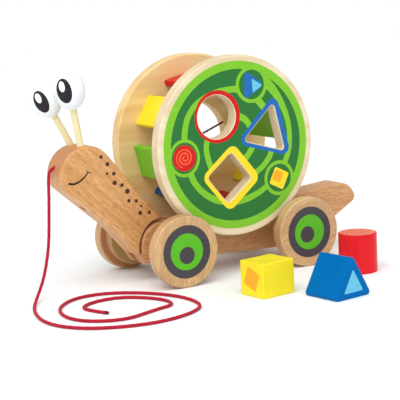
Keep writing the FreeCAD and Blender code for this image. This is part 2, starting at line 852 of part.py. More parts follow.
def check():
    for item in doc.Objects:
        if "Invalid" in item.State or "Error" in item.State:
            raise RuntimeError("%s failed: %s" % (item.Label, item.State))
    for item in parts:
        shape = item.Shape
        if shape.isNull() or not shape.isValid() or not shape.Solids:
            raise RuntimeError(item.Label + " has no valid solid")


def write():
    os.makedirs("parts", exist_ok=True)
    for item in parts:
        item.Shape.exportStep(os.path.join("parts", item.Label + ".step"))
    print("%d parts written" % len(parts))


build()
centre_on_floor()
check()
write()
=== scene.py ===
"""Looks of the wooden pull-along snail: beech, printed plywood, painted slats and blocks, and a red cord.

Places are written in millimetres from the point on the floor under the middle of the shell and turned into
the row's frame by at().  The snail faces -X and the printed side of its shell faces -Y.
"""
import math

import bpy
from mathutils import Matrix, Vector
from mathutils.geometry import delaunay_2d_cdt


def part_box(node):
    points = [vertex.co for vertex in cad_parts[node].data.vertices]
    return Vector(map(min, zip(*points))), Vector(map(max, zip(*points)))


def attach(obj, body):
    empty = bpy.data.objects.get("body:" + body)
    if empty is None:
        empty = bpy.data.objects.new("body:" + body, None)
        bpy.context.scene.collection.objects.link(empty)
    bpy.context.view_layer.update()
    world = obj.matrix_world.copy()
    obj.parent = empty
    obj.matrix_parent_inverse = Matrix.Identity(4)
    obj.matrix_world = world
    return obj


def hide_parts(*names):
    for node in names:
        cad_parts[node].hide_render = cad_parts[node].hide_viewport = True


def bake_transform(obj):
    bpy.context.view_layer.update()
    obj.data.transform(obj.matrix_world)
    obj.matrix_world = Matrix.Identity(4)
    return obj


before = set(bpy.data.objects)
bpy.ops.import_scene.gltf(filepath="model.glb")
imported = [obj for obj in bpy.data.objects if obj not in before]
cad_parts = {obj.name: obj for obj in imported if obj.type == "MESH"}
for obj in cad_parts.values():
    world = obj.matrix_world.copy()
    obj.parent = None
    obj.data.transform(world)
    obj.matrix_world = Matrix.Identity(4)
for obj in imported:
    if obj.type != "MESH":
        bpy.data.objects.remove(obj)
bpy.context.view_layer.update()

MM = 0.001
X_AXIS = Vector((1, 0, 0))
Y_AXIS = Vector((0, 1, 0))
Z_AXIS = Vector((0, 0, 1))
PRINT_LIFT = 0.06


def middle(node):
    """The middle of a node's box."""
    low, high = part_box(node)
    return (low + high) / 2


SHELL = middle("shell_disc_left")
PLANK = middle("body_plank")
FLOOR = Vector((SHELL.x, PLANK.y, 0))


def at(x, y, z):
    """A point given in millimetres from the floor under the shell, in the row's frame."""
    return FLOOR + Vector((x, y, z)) * MM


# ---------------------------------------------------------------- camera

CAMERA_TARGET = at(-16.55, 0, 69.58)
CAMERA_DISTANCE = 1.27248
CAMERA_YAW = math.radians(-30.12)
CAMERA_PITCH = math.radians(9.34)
CAMERA_ROLL = math.radians(-2.65)
CAMERA_LENS = 115.33
SENSOR_WIDTH = 36.0


def add_camera():
    """A long lens from the front left and slightly above, rolled a little."""
    data = bpy.data.cameras.new("camera")
    data.lens = CAMERA_LENS
    data.sensor_width = SENSOR_WIDTH
    data.clip_start = 0.05
    data.clip_end = 60.0
    camera = bpy.data.objects.new("camera", data)
    bpy.context.scene.collection.objects.link(camera)
    level = math.cos(CAMERA_PITCH)
    back = Vector((math.sin(CAMERA_YAW) * level, -math.cos(CAMERA_YAW) * level, math.sin(CAMERA_PITCH)))
    right = (-back).cross(Z_AXIS).normalized()
    up = right.cross(-back)
    rolled_right = right * math.cos(CAMERA_ROLL) + up * math.sin(CAMERA_ROLL)
    rolled_up = up * math.cos(CAMERA_ROLL) - right * math.sin(CAMERA_ROLL)
    turn = Matrix((rolled_right, rolled_up, back)).transposed().to_4x4()
    camera.matrix_world = Matrix.Translation(CAMERA_TARGET + back * CAMERA_DISTANCE) @ turn
    bpy.context.scene.camera = camera


# ---------------------------------------------------------------- colours and node helpers

def rgb(red, green, blue):
    """A colour given as 0 to 255, turned into linear values."""
    linear = []
    for value in (red, green, blue):
        share = value / 255
        linear.append(share / 12.92 if share <= 0.04045 else ((share + 0.055) / 1.055) ** 2.4)
    return (*linear, 1.0)


FIBRE_STRETCH = (0.06, 1.0, 1.0)


class Surface:
    """A material with short ways to add and join its nodes."""

    def __init__(self, name, roughness=0.45, **constants):
        self.material = bpy.data.materials.new(name)
        self.material.use_nodes = True
        self.tree = self.material.node_tree
        self.shader = self.tree.nodes["Principled BSDF"]
        self.shader.inputs["Roughness"].default_value = roughness
        for socket, value in constants.items():
            self.shader.inputs[socket.replace("_", " ")].default_value = value

    def node(self, kind, settings=None, **inputs):
        """A node of that kind, with its settings and with each input set or linked."""
        made = self.tree.nodes.new("ShaderNode" + kind)
        for name, value in (settings or {}).items():
            setattr(made, name, value)
        for name, value in inputs.items():
            self.feed(made.inputs[name.replace("_", " ")], value)
        return made

    def feed(self, socket, value):
        """Link another node's output to a socket, or set the socket to a plain value."""
        if isinstance(value, bpy.types.NodeSocket):
            self.tree.links.new(value, socket)
        else:
            socket.default_value = value

    def place(self, grain=X_AXIS, stretch=(1, 1, 1), shift=(0, 0, 0)):
        """Object coordinates turned so that the grain runs along X, then squeezed along it."""
        where = self.object_place()
        turn = grain.rotation_difference(X_AXIS).to_euler("XYZ")
        turned = self.node("Mapping", Vector=where, Rotation=turn, Location=shift)
        return self.node("Mapping", Vector=turned.outputs["Vector"], Scale=stretch).outputs["Vector"]

    def object_place(self):
        return self.node("TexCoord").outputs["Object"]

    def noise(self, vector, scale, detail=2.0, rough=0.5, distortion=0.0):
        """Noise from 0 to 1; the scale is in features per metre."""
        made = self.node("TexNoise", Vector=vector, Scale=scale, Detail=detail, Roughness=rough,
                         Distortion=distortion)
        return made.outputs["Fac"]

    def span(self, value, low, high, to_low=0.0, to_high=1.0):
        """The value carried smoothly from one range to another, and held at its ends."""
        made = self.node("MapRange", {"interpolation_type": "SMOOTHSTEP"}, Value=value, From_Min=low,
                         From_Max=high, To_Min=to_low, To_Max=to_high)
        return made.outputs["Result"]

    def math(self, operation, first, second=0.0):
        made = self.tree.nodes.new("ShaderNodeMath")
        made.operation = operation
        self.feed(made.inputs[0], first)
        self.feed(made.inputs[1], second)
        return made.outputs[0]

    def mix(self, share, first, second):
        """The first colour, with that share of the second laid over it."""
        made = self.tree.nodes.new("ShaderNodeMix")
        made.data_type = "RGBA"
        self.feed(made.inputs[0], share)
        self.feed(made.inputs[6], first)
        self.feed(made.inputs[7], second)
        return made.outputs[2]

    def dot(self, first, second):
        made = self.tree.nodes.new("ShaderNodeVectorMath")
        made.operation = "DOT_PRODUCT"
        self.feed(made.inputs[0], first)
        self.feed(made.inputs[1], second)
        return made.outputs["Value"]

    def edges(self, reach):
        """1 near a sharp edge and 0 on open surfaces."""
        soft = self.node("Bevel", {"samples": 4}, Radius=reach)
        hard = self.node("NewGeometry")
        return self.span(self.dot(soft.outputs["Normal"], hard.outputs["Normal"]), 0.99, 0.80)

    def along(self, direction):
        """How far the surface's normal agrees with a direction, from -1 to 1."""
        return self.dot(self.node("TexCoord").outputs["Normal"], direction)

    def end_on(self, grain, most):
        """Up to that share where the surface cuts across the grain."""
        return self.span(self.math("ABSOLUTE", self.along(grain)), 0.55, 0.98, 0.0, most)

    def facing(self, direction, most):
        """Up to that share on flat faces that look in that direction."""
        return self.span(self.along(direction), 0.90, 0.98, 0.0, most)

    def bump(self, height, strength, distance):
        made = self.node("Bump", Height=height, Strength=strength, Distance=distance)
        self.feed(self.shader.inputs["Normal"], made.outputs["Normal"])

    def finish(self, colour, roughness):
        """Link the last colour and roughness, and hand back the material."""
        self.feed(self.shader.inputs["Base Color"], colour)
        self.feed(self.shader.inputs["Roughness"], roughness)
        return self.material


# ---------------------------------------------------------------- materials

def scaled(colour, factor, lift=0.0):
    """A colour made darker or paler, with some white added, and held below full white."""
    return tuple(min(1.0, channel * factor + lift) for channel in colour[:3]) + (1.0,)


def beech(name, pale, deep, grain, figure=1.0, shift=0.0, roughness=0.42, fleck=0.55, faces=None):
    """Oiled beech: soft growth bands, fine fibre, short dark flecks along the grain and darker end grain.

    faces is a direction and a painted shade tone for the flat faces that look that way.
    """
    surface = Surface(name, roughness, Specular_IOR_Level=0.5)
    offset = (shift, shift * 0.7, shift * 1.3)
    bands_at = surface.place(grain, (0.05, 1.0, 1.0), offset)
    fibre_at = surface.place(grain, (0.035, 1.0, 1.0), offset)
    fleck_at = surface.place(grain, (0.06, 1.0, 1.0), offset)
    bands = surface.noise(bands_at, 300.0, 3.0, 0.6, 0.2)
    broad = surface.noise(bands_at, 34.0, 2.0, 0.5, 0.4)
    fibre = surface.noise(fibre_at, 1500.0, 2.0, 0.6)
    flecks = surface.span(surface.noise(fleck_at, 2200.0, 1.0, 0.5), 0.54, 0.62)
    rings = surface.math("ADD", surface.math("MULTIPLY", bands, 0.6), surface.math("MULTIPLY", broad, 0.4))
    growth = surface.span(rings, 0.34, 0.66, 0.0, figure)
    colour = surface.mix(growth, pale, deep)
    colour = surface.mix(surface.span(fibre, 0.38, 0.68, 0.0, 0.55), colour, deep)
    colour = surface.mix(surface.math("MULTIPLY", flecks, fleck), colour, scaled(deep, 0.52))
    end_grain = (deep[0] * 0.78, deep[1] * 0.62, deep[2] * 0.66, 1.0)
    colour = surface.mix(surface.end_on(grain, 0.62), colour, end_grain)
    # painted shade: flat faces that look in the given direction are mixed towards a darker tone standing in
    # for the shade they lie in
    if faces:
        direction, tone = faces
        colour = surface.mix(surface.facing(direction, 0.7), colour, tone)
    worn = surface.math("MULTIPLY", surface.edges(0.0012), 0.40)
    colour = surface.mix(worn, colour, scaled(pale, 1.12, 0.03))
    height = surface.math("SUBTRACT", surface.math("MULTIPLY", fibre, 0.35), flecks)
    surface.bump(height, 0.30, 0.00010)
    return surface.finish(colour, surface.span(fibre, 0.2, 0.8, roughness - 0.05, roughness + 0.10))


def plywood(name, pale, deep, inner_face, outward, thickness, plies=9):
    """Plywood seen as solid layers across its thickness, so that the plies show on the rims."""
    surface = Surface(name, 0.46, Specular_IOR_Level=0.4)
    where = surface.object_place()
    depth = surface.node("SeparateXYZ", Vector=where).outputs["Y"]
    grain_at = surface.place(X_AXIS, FIBRE_STRETCH)
    cross_at = surface.place(Z_AXIS, FIBRE_STRETCH)
    wobble = surface.noise(where, 120.0, 2.0)
    share = surface.math("DIVIDE", surface.math("SUBTRACT", depth, inner_face), outward * thickness)
    share = surface.math("ADD", share, surface.math("MULTIPLY", surface.math("SUBTRACT", wobble, 0.5), 0.02))
    share = surface.math("ADD", surface.math("MULTIPLY", share, 0.96), 0.02)
    layer = surface.math("FRACT", surface.math("ADD", surface.math("MULTIPLY", share, plies / 2), 0.25))
    from_middle = surface.math("ABSOLUTE", surface.math("SUBTRACT", layer, 0.5))
    crossed = surface.span(from_middle, 0.20, 0.27)
    from_joint = surface.math("ABSOLUTE", surface.math("SUBTRACT", from_middle, 0.235))
    glue = surface.math("SUBTRACT", 1.0, surface.span(from_joint, 0.0, 0.035))
    fibre = surface.noise(grain_at, 700.0, 3.0, 0.6)
    end_fibre = surface.noise(cross_at, 900.0, 2.0, 0.6)
    figure = surface.noise(grain_at, 55.0, 3.0, 0.55, 0.6)
    face = surface.mix(surface.span(figure, 0.35, 0.68), pale, deep)
    face = surface.mix(surface.span(fibre, 0.4, 0.75, 0.0, 0.30), face, deep)
    dark = surface.mix(surface.span(end_fibre, 0.3, 0.7), deep, scaled(deep, 0.80))
    colour = surface.mix(surface.math("MULTIPLY", crossed, 0.42), face, dark)
    colour = surface.mix(surface.math("MULTIPLY", glue, 0.30), colour, rgb(150, 108, 66))
    colour = surface.mix(surface.math("MULTIPLY", surface.edges(0.001), 0.25), colour, rgb(252, 243, 222))
    surface.bump(surface.math("ADD", fibre, surface.math("MULTIPLY", crossed, -0.4)), 0.22, 0.0001)
    return surface.finish(colour, surface.span(end_fibre, 0.3, 0.7, 0.40, 0.55))


def paint(name, colour, grain=X_AXIS, roughness=0.30, wear=0.30, telegraph=0.30, shine=0.13):
    """Gloss paint on wood: the grain shows faintly through, and the edges are rubbed paler."""
    surface = Surface(name, roughness, Specular_IOR_Level=shine)
    grain_at = surface.place(grain, FIBRE_STRETCH)
    where = surface.object_place()
    fibre = surface.noise(grain_at, 620.0, 2.0, 0.6)
    cloud = surface.noise(where, 70.0, 2.0)
    peel = surface.noise(where, 1100.0, 1.0)
    shade = scaled(colour, 0.84)
    tint = scaled(colour, 1.10, 0.035)
    mixed = surface.mix(surface.span(cloud, 0.35, 0.70, 0.0, 0.40), colour, shade)
    mixed = surface.mix(surface.span(fibre, 0.45, 0.75, 0.0, telegraph), mixed, shade)
    mixed = surface.mix(surface.math("MULTIPLY", surface.edges(0.0009), wear), mixed, tint)
    surface.bump(surface.math("ADD", fibre, surface.math("MULTIPLY", peel, 0.5)), 0.16, 0.00008)
    return surface.finish(mixed, surface.span(cloud, 0.3, 0.7, roughness - 0.04, roughness + 0.08))


def ink(name, colour, roughness=0.42):
    """Screen-printed ink: flat colour with a trace of the wood's grain and of uneven cover."""
    surface = Surface(name, roughness, Specular_IOR_Level=0.15)
    grain_at = surface.place(X_AXIS, FIBRE_STRETCH)
    where = surface.object_place()
    fibre = surface.noise(grain_at, 700.0, 3.0, 0.6)
    cover = surface.noise(where, 160.0, 3.0, 0.6)
    shade = scaled(colour, 0.82)
    tint = scaled(colour, 1.06, 0.012)
    mixed = surface.mix(surface.span(fibre, 0.42, 0.75, 0.0, 0.45), colour, shade)
    mixed = surface.mix(surface.span(cover, 0.45, 0.75, 0.0, 0.35), mixed, tint)
    surface.bump(fibre, 0.18, 0.00008)
    return surface.finish(mixed, surface.span(cover, 0.3, 0.7, roughness - 0.05, roughness + 0.08))


def braid(name, colour, deep, pitch=0.0042, strands=6.0):
    """Braided cord: two sets of strands that cross, from the tube's own turn and length."""
    surface = Surface(name, 0.78, Specular_IOR_Level=0.2, Sheen_Weight=0.06, Sheen_Roughness=0.5)
    split = surface.node("SeparateXYZ", Vector=surface.node("UVMap").outputs["UV"])
    around, along = split.outputs["X"], split.outputs["Y"]
    ridges = []
    for sign in (1.0, -1.0):
        phase = surface.math("ADD", surface.math("MULTIPLY", around, sign * strands),
                             surface.math("DIVIDE", along, pitch))
        ridges.append(surface.math("SINE", surface.math("MULTIPLY", phase, 2 * math.pi)))
    weave = surface.span(surface.math("MAXIMUM", ridges[0], ridges[1]), -0.2, 1.0)
    where = surface.object_place()
    fuzz = surface.noise(where, 2600.0, 2.0, 0.7)
    tone = surface.noise(where, 90.0, 2.0)
    mixed = surface.mix(weave, deep, colour)
    mixed = surface.mix(surface.span(fuzz, 0.4, 0.8, 0.0, 0.20), mixed, rgb(220, 60, 84))
    mixed = surface.mix(surface.span(tone, 0.4, 0.7, 0.0, 0.20), mixed, deep)
    surface.bump(surface.math("ADD", weave, surface.math("MULTIPLY", fuzz, 0.4)), 0.55, 0.00035)
    return surface.finish(mixed, surface.span(fuzz, 0.2, 0.8, 0.70, 0.88))


def floor_paper():
    """Matt, nearly white paper with a faint tooth."""
    surface = Surface("studio_paper", 0.85)
    where = surface.object_place()
    tooth = surface.noise(where, 900.0, 2.0)
    surface.bump(tooth, 0.05, 0.0001)
    cloud = surface.span(surface.noise(where, 3.0), 0.3, 0.7, 0.0, 0.3)
    tone = surface.mix(cloud, rgb(249, 252, 254), rgb(247, 250, 252))
    return surface.finish(tone, surface.span(tooth, 0.3, 0.7, 0.80, 0.88))


NECK_GRAIN = Vector((1, 0, -0.93)).normalized()
PLY_THICKNESS = 13.6 * MM
BEECH_PALE = rgb(240, 188, 128)
BEECH_DEEP = rgb(200, 138, 76)

MATERIALS = {
    "plank": beech("beech_plank", rgb(226, 174, 120), rgb(200, 142, 90), X_AXIS, 0.8, 0.31),
    "neck": beech("beech_neck", BEECH_PALE, BEECH_DEEP, NECK_GRAIN, 0.8, 0.0),
    "ply_left": plywood("plywood_printed_side", rgb(236, 222, 190), rgb(222, 200, 160),
                        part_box("shell_disc_left")[1].y, -1.0, PLY_THICKNESS),
    "ply_right": plywood("plywood_hand_side", rgb(242, 212, 156), rgb(226, 188, 126),
                         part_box("shell_disc_right")[0].y, 1.0, PLY_THICKNESS),
    "red": paint("slat_paint_red", rgb(208, 32, 34), Y_AXIS),
    "yellow": paint("slat_paint_yellow", rgb(246, 224, 44), Y_AXIS),
    "green": paint("slat_paint_green", rgb(122, 196, 46), Y_AXIS),
    "blue": paint("slat_paint_blue", rgb(24, 84, 158), Y_AXIS),
    "white": paint("eye_paint_white", rgb(243, 247, 250), Z_AXIS, 0.22, 0.0, 0.06),
    "dowel": beech("pale_dowel", rgb(244, 234, 188), rgb(230, 214, 156), Z_AXIS, 0.5, 0.9, 0.4, 0.12),
    "block_yellow": paint("block_paint_yellow", rgb(247, 226, 44), X_AXIS),
    "block_blue": paint("block_paint_blue", rgb(0, 106, 176), Y_AXIS, shine=0.03),
    "block_red": paint("block_paint_red", rgb(226, 30, 40), Z_AXIS),
    "cord": braid("crimson_cord", rgb(202, 26, 56), rgb(150, 10, 36)),
    "elastic": paint("red_elastic", rgb(132, 20, 34), X_AXIS, 0.6, 0.0, 0.5),
    "ink_dark_green": ink("ink_dark_green", rgb(44, 116, 54)),
    "ink_light_green": ink("ink_light_green", rgb(126, 196, 48)),
    "ink_wheel_green": ink("ink_wheel_green", rgb(92, 186, 42)),
    "ink_grey": ink("ink_grey", rgb(74, 70, 76)),
    "ink_red": ink("ink_red", rgb(208, 28, 28)),
    "ink_coral": ink("ink_coral", rgb(250, 96, 56)),
    "ink_salmon": ink("ink_salmon", rgb(238, 128, 92)),
    "ink_brick": ink("ink_brick", rgb(196, 62, 48)),
    "ink_blue": ink("ink_blue", rgb(34, 106, 184)),
    "ink_sky": ink("ink_sky", rgb(104, 194, 226)),
    "ink_yellow": ink("ink_yellow", rgb(248, 220, 44)),
    "ink_orange": ink("ink_orange", rgb(250, 174, 38)),
    "ink_black": ink("ink_black", rgb(42, 38, 44), 0.25),
    "ink_white": ink("ink_white", rgb(248, 246, 250), 0.25),
    "burnt": ink("burnt_line", rgb(50, 34, 26), 0.6),
    "burnt_dot": ink("burnt_dot", rgb(78, 56, 44), 0.6),
    "cord_tip": paint("melted_cord_tip", rgb(124, 18, 36), Y_AXIS, 0.35, 0.0, 0.4),
}


TURNED_PALE = rgb(224, 186, 136)
TURNED_DEEP = rgb(194, 150, 102)
# painted shade: the inner sides of the wheels are darker and redder, and the inner faces of the rollers
# olive, standing in for the shade they lie in towards the plank
WHEEL_INNER_SIDE_SHADE = rgb(176, 112, 78)
ROLLER_INNER_SIDE_SHADE = rgb(168, 140, 78)
WHEEL_GRAINS = {
    "front_wheel_left": (0.15, 1.0), "front_wheel_right": (-0.4, 1.0),
    "rear_wheel_left": (1.0, 0.3), "rear_wheel_right": (1.0, -0.5),
}


def turned_beech(name, grain, shift, faces=None):
    """The paler and calmer beech of wheels, rollers and dowels."""
    # faces, where given, paints shade on the flat faces that look one way
    return beech(name, TURNED_PALE, TURNED_DEEP, grain, 0.7, shift, 0.45, 0.40, faces)


def dress(node, material):
    """Put one material on a carried-over CAD node."""
    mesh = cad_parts[node].data
    mesh.materials.clear()
    mesh.materials.append(material)


def dress_wheels():
    """Wheels, rollers, axles and spacers, each wheel with its own run of grain."""
    for index, (node, (x, z)) in enumerate(WHEEL_GRAINS.items()):
        grain = Vector((x, 0, z)).normalized()
        inward = Y_AXIS if node.endswith("left") else -Y_AXIS
        # the inward faces of each wheel and roller get painted shade
        dress(node, turned_beech("beech_" + node, grain, 0.2 + index, (inward, WHEEL_INNER_SIDE_SHADE)))
        roller = node.replace("wheel", "roller")
        dress(roller, turned_beech("beech_" + roller, grain.cross(Y_AXIS), 0.6 + index,
                                   (inward, ROLLER_INNER_SIDE_SHADE)))
    for end in ("front", "rear"):
        spindle = turned_beech("beech_axle_" + end, Y_AXIS, 0.5)
        dress(end + "_axle", spindle)
        dress(end + "_spacer_left", spindle)
        dress(end + "_spacer_right", spindle)


NODE_MATERIALS = {
    "body_plank": "plank", "head_neck": "neck",
    "shell_disc_left": "ply_left", "shell_disc_right": "ply_right",
    "antenna_left": "dowel", "eye_left": "white", "antenna_right": "dowel", "eye_right": "white",
    "block_square": "block_yellow", "block_triangle": "block_blue", "block_round": "block_red",
    "elastic_cord": "elastic", "pull_cord_core": "elastic", "cord_knot": "elastic",
}


def dress_cad():
    """Give each carried-over CAD node its material; the meshes stay as they are."""
    dress_wheels()
    for node, material in NODE_MATERIALS.items():
        dress(node, MATERIALS[material])
    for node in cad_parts:
        if node.startswith("slat_") and node != "slat_pins":
            dress(node, MATERIALS[node.split("_")[-1]])
    dress("slat_pins", turned_beech("beech_pins", Y_AXIS, 0.8))


# ---------------------------------------------------------------- flat shapes for printed art

def circle(x, z, radius, radius_z=None, steps=72):
    """A circle, or an oval where a second radius is given."""
    tall = radius if radius_z is None else radius_z
    points = []
    for index in range(steps):
        angle = 2 * math.pi * index / steps
        points.append((x + radius * math.cos(angle), z + tall * math.sin(angle)))
    return points


def rounded(corners, radius, steps=7):
    """A closed outline through the corners, each rounded to that radius."""
    points = []
    count = len(corners)
    for index in range(count):
        here = Vector(corners[index])
        back = (Vector(corners[index - 1]) - here).normalized()
        ahead = (Vector(corners[(index + 1) % count]) - here).normalized()
        half = back.angle(ahead) / 2
        centre = here + (back + ahead).normalized() * (radius / math.sin(half))
        start = here + back * (radius / math.tan(half)) - centre
        end = here + ahead * (radius / math.tan(half)) - centre
        sweep = start.angle_signed(end)
        for step in range(steps + 1):
            angle = -sweep * step / steps
            turned = (start.x * math.cos(angle) - start.y * math.sin(angle),
                      start.x * math.sin(angle) + start.y * math.cos(angle))
            points.append((centre.x + turned[0], centre.y + turned[1]))
    return points


def polygon(count, side, radius, turn, x, z):
    """A regular polygon with rounded corners, its first corner at that many degrees."""
    reach = side / 2 / math.sin(math.pi / count)
    corners = []
    for index in range(count):
        angle = math.radians(turn + 360 * index / count)
        corners.append((x + reach * math.cos(angle), z + reach * math.sin(angle)))
    return rounded(corners, radius)


def smooth_line(points, steps=10):
    """Points along a smooth curve through the given ones."""
    ends = [Vector(points[0]) * 2 - Vector(points[1])] + [Vector(p) for p in points]
    ends.append(Vector(points[-1]) * 2 - Vector(points[-2]))
    line = []
    for index in range(1, len(ends) - 2):
        a, b, c, d = ends[index - 1:index + 3]
        for step in range(steps):
            t = step / steps
            line.append(0.5 * ((2 * b) + (c - a) * t + (2 * a - 5 * b + 4 * c - d) * t * t
                               + (3 * b - a - 3 * c + d) * t ** 3))
    line.append(ends[-2])
    return line


def band(points, widths, steps=10):
    """The outline of a stroke along a smooth curve; widths run evenly from its start to its end."""
    line = smooth_line(points, steps)
    left, right = [], []
    for index, here in enumerate(line):
        ahead = line[min(index + 1, len(line) - 1)] - line[max(index - 1, 0)]
        side = Vector((-ahead.y, ahead.x)).normalized()
        share = index / (len(line) - 1) * (len(widths) - 1)
        low = min(int(share), len(widths) - 2)
        half = (widths[low] + (widths[low + 1] - widths[low]) * (share - low)) / 2
        left.append(here + side * half)
        right.append(here - side * half)
    return [tuple(p) for p in left + right[::-1]]


def spiral(x, z, outer, inner, turns, start, width):
    """A flat spiral stroke that winds clockwise from its outer end to its inner one."""
    count = int(turns * 18)
    points = []
    for index in range(count + 1):
        share = index / count
        radius = outer + (inner - outer) * share
        angle = math.radians(start) - 2 * math.pi * turns * share
        points.append((x + radius * math.cos(angle), z + radius * math.sin(angle)))
    return band(points, (width * 0.6, width, width, width * 0.8), 2)


def inside(outline, x, y):
    """Whether a point lies within a closed outline, by counting the sides that a line from it crosses."""
    found = False
    before_x, before_y = outline[-1]
    for here_x, here_y in outline:
        if (here_y > y) != (before_y > y):
            if x < (before_x - here_x) * (y - here_y) / (before_y - here_y) + here_x:
                found = not found
        before_x, before_y = here_x, here_y
    return found


CUT_TOLERANCE = 1e-5


def add_mesh(mesh):
    """An object of the same name that shows a mesh."""
    made = bpy.data.objects.new(mesh.name, mesh)
    bpy.context.scene.collection.objects.link(made)
    return made


def printed(name, layers, origin, right, up, body):
    """One thin printed sheet.  Layers are (outline, ink), the top one first; ink None is a hole."""
    points, edges = [], []
    for outline, _ in layers:
        first = len(points)
        points.extend(Vector(p) for p in outline)
        count = len(outline)
        edges.extend((first + index, first + (index + 1) % count) for index in range(count))
    corners, _, triangles, *_ = delaunay_2d_cdt(points, edges, [], 0, CUT_TOLERANCE)
    inks = sorted({colour for _, colour in layers if colour})
    faces, paints = [], []
    for triangle in triangles:
        centre = sum((corners[index] for index in triangle), Vector((0, 0))) / 3
        for outline, colour in layers:
            if inside(outline, centre.x, centre.y):
                if colour:
                    faces.append(tuple(triangle))
                    paints.append(inks.index(colour))
                break
    used = sorted({index for face in faces for index in face})
    renamed = {index: place for place, index in enumerate(used)}
    places = [origin + (right * corners[index].x + up * corners[index].y) * MM for index in used]
    mesh = bpy.data.meshes.new(name)
    mesh.from_pydata([tuple(p) for p in places], [], [tuple(renamed[i] for i in face) for face in faces])
    for colour in inks:
        mesh.materials.append(MATERIALS[colour])
    mesh.polygons.foreach_set("material_index", paints)
    mesh.update()
    made = add_mesh(mesh)
    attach(made, body)


# ---------------------------------------------------------------- shell print

RING_CENTRE = (-0.4, 0.6)
OUTER_RING_RADIUS = 80.7
DARK_RING_RADIUS = 72.9
# what each hole takes: a radius; or sides, their length, the corners' radius and the turn; then its place
ROUND_HOLE = (-22.0, 29.6, 20.8)
TRIANGLE_HOLE = (3, 48.8, 2.6, 73.5, 34.7, 10.6)
SQUARE_HOLE = (4, 35.2, 4.0, -6.3, -10.0, -30.2)
HOLE_MARGIN = 0.8
ROUND_BADGE = (-59.0, -6.0)
TRIANGLE_BADGE = (18.6, 57.4)
SQUARE_BADGE = (46.6, -36.4)
# each light green stroke: the points along its middle, then its width from start to end
BAND_LINES = [
    ([(-58.4, 10), (-57.2, 20), (-54.3, 30), (-50.3, 36.5), (-46, 41.5), (-38, 47), (-28, 51), (-18, 53.6),
      (-8, 54.4), (0, 54.3), (6, 52.5)], (6.4, 6.0, 5.6, 5.8, 6.8)),
    ([(32, 62), (37, 56.8), (43, 50.5), (48.5, 43), (53, 35), (56.8, 26.5), (59.5, 17), (60.6, 7),
      (60.4, -2), (59, -10), (56.3, -17), (53, -23)], (11.0, 8.6, 6.4, 5.6, 6.0, 6.0)),
    ([(21, 46), (25, 42), (29.5, 37), (34, 31), (39, 20), (41, 6), (37.7, -11), (34, -17), (28.5, -22.6),
      (21.5, -27), (14, -30)], (8.0, 7.2, 6.4, 6.0, 5.6)),
    ([(0, 29), (4.5, 27.5), (9.8, 24.4), (14.3, 18.6), (18, 12), (18.8, 4), (16.5, -3.6), (12.5, -9),
      (8.5, -12.8), (4, -16)], (6.8, 6.2, 6.2, 6.6)),
    ([(-33, 10), (-34.7, 3), (-34.7, -3), (-33.2, -10), (-31, -17), (-27.5, -23)], (5.8, 5.9, 5.6)),
    ([(-54, -18), (-52.6, -23), (-50, -29), (-45.2, -36), (-38, -42.8), (-30.5, -47.8), (-23, -51),
      (-12, -53.6), (-2, -54), (9, -52.4), (20, -49), (28, -45.2), (36, -40)], (6.6, 6.2, 6.2, 6.4, 5.6)),
]


def widened(hole, margin):
    """A straight-sided hole's outline, moved outwards by a margin."""
    count, side, radius, turn, x, z = hole
    return polygon(count, side + 2 * margin * math.tan(math.pi / count), radius + margin, turn, x, z)


def shell_print():
    """The printed face of the left disc: green rings and bands, three badges and three bordered holes."""
    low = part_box("shell_disc_left")[0]
    origin = Vector((SHELL.x, low.y - PRINT_LIFT * MM, SHELL.z))
    hole_x, hole_z, hole_radius = ROUND_HOLE
    # circle takes a place and a radius; polygon takes sides, their length, corner radius, turn and place
    layers = [
        (circle(hole_x, hole_z, hole_radius + HOLE_MARGIN), None),
        (widened(TRIANGLE_HOLE, HOLE_MARGIN), None),
        (widened(SQUARE_HOLE, HOLE_MARGIN), None),
        (circle(-21.0, 29.8, 25.2), "ink_red"),
        (polygon(3, 66.7, 6.9, 74.0, 35.3, 11.2), "ink_blue"),
        (polygon(4, 47.4, 8.0, -5.7, -8.3, -30.0), "ink_yellow"),
        (rounded([(19.0, 63.2), (19.8, 49.2), (31.0, 55.8)], 0.7), "ink_sky"),
        (rounded([(11.2, 71.6), (9.8, 43.0), (33.0, 56.6)], 2.6), "ink_blue"),
        (circle(*TRIANGLE_BADGE, 14.2), "ink_dark_green"),
        (spiral(-58.8, -5.7, 9.4, 0.9, 2.5, -106, 1.7), "ink_coral"),
        (circle(*ROUND_BADGE, 12.4), "ink_red"),
        (circle(*ROUND_BADGE, 13.8, 14.8), "ink_dark_green"),
        (polygon(4, 10.4, 1.6, 20.0, 45.2, -34.4), "ink_orange"),
        (polygon(4, 17.6, 1.8, 18.4, 46.6, -36.7), "ink_yellow"),
        (circle(*SQUARE_BADGE, 13.8), "ink_dark_green"),
        (circle(*TRIANGLE_BADGE, 17.8), "ink_light_green"),
        (circle(*ROUND_BADGE, 16.8, 18.0), "ink_light_green"),
        (circle(*SQUARE_BADGE, 17.3), "ink_light_green"),
    ]
    for points, widths in BAND_LINES:
        layers.append((band(points, widths), "ink_light_green"))
    layers.append((circle(*RING_CENTRE, DARK_RING_RADIUS, steps=128), "ink_dark_green"))
    layers.append((circle(*RING_CENTRE, OUTER_RING_RADIUS, steps=144), "ink_light_green"))
    printed("shell_print", layers, origin, X_AXIS, Z_AXIS, "shell")


# ---------------------------------------------------------------- wheel prints

WHEEL_RING_RADIUS = 25.3
WHEEL_GREEN_RADIUS = 17.4
WHEEL_DOT_RADIUS = 8.2
# where each wheel's dot lies, from the wheel's middle
WHEEL_DOTS = {
    "front_wheel_left": (0.0, -3.4), "front_wheel_right": (1.5, -3.0),
    "rear_wheel_left": (-2.6, -2.2), "rear_wheel_right": (-3.2, -1.0),
}


